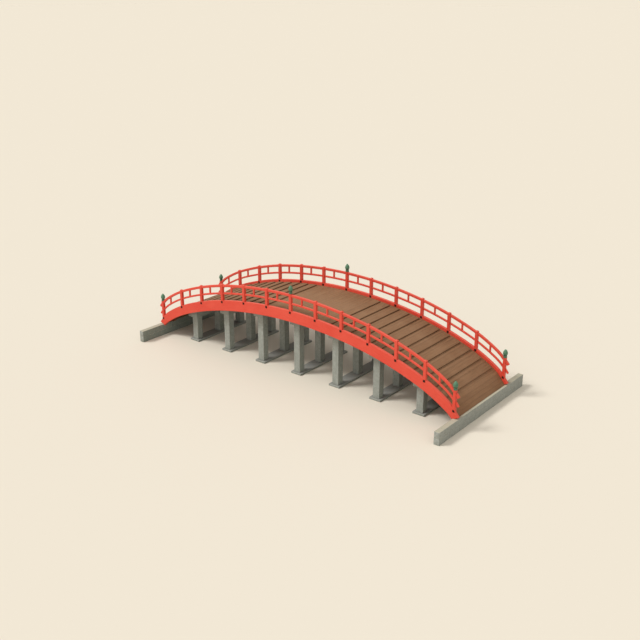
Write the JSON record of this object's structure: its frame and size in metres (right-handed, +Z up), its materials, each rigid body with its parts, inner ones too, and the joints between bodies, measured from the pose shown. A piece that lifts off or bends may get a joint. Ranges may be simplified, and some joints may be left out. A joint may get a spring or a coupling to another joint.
{
  "type": "arched moon bridge",
  "caption": "High-arched red timber footbridge with plank deck, foot battens, post-and-rail parapets, onion finials and stone bents between two abutment walls.",
  "frame": {"origin": "mid-span on the bridge's centre line, at the water level on which the sills and abutment walls stand", "axes": "+X along the bridge towards its east end, +Y across it towards its north railing, +Z up"},
  "size_m": [19.72, 8.02, 4.962],
  "materials": {
    "abutment_stone": "rough",
    "pier_stone": "rough",
    "deck_wood": "matte",
    "batten_wood": "matte",
    "girder_wood": "matte",
    "vermilion_wood": "satin",
    "finial_bronze": "patina",
    "black_iron": "matte"
  },
  "bodies": {
    "root": {"bent_1_cap": "pier_stone", "bent_1_columns": "pier_stone", "bent_1_sill": "pier_stone", "bent_2_cap": "pier_stone", "bent_2_columns": "pier_stone", "bent_2_sill": "pier_stone", "bent_3_cap": "pier_stone", "bent_3_columns": "pier_stone", "bent_3_sill": "pier_stone", "bent_4_cap": "pier_stone", "bent_4_columns": "pier_stone", "bent_4_sill": "pier_stone", "bent_5_cap": "pier_stone", "bent_5_columns": "pier_stone", "bent_5_sill": "pier_stone", "bent_6_cap": "pier_stone", "bent_6_columns": "pier_stone", "bent_6_sill": "pier_stone", "bent_7_cap": "pier_stone", "bent_7_columns": "pier_stone", "bent_7_sill": "pier_stone", "centre_girder": "girder_wood", "crown_deck": "deck_wood", "east_abutment": "abutment_stone", "east_battens": "batten_wood", "east_deck": "deck_wood", "north_finials": "finial_bronze", "north_inner_girder": "girder_wood", "north_iron_plates": "black_iron", "north_mid_rail": "vermilion_wood", "north_posts": "vermilion_wood", "north_side_girder": "vermilion_wood", "north_struts": "vermilion_wood", "north_top_rail": "vermilion_wood", "south_finials": "finial_bronze", "south_inner_girder": "girder_wood", "south_iron_plates": "black_iron", "south_mid_rail": "vermilion_wood", "south_posts": "vermilion_wood", "south_side_girder": "vermilion_wood", "south_struts": "vermilion_wood", "south_top_rail": "vermilion_wood", "west_abutment": "abutment_stone", "west_battens": "batten_wood", "west_deck": "deck_wood"}
  },
  "joints": []
}
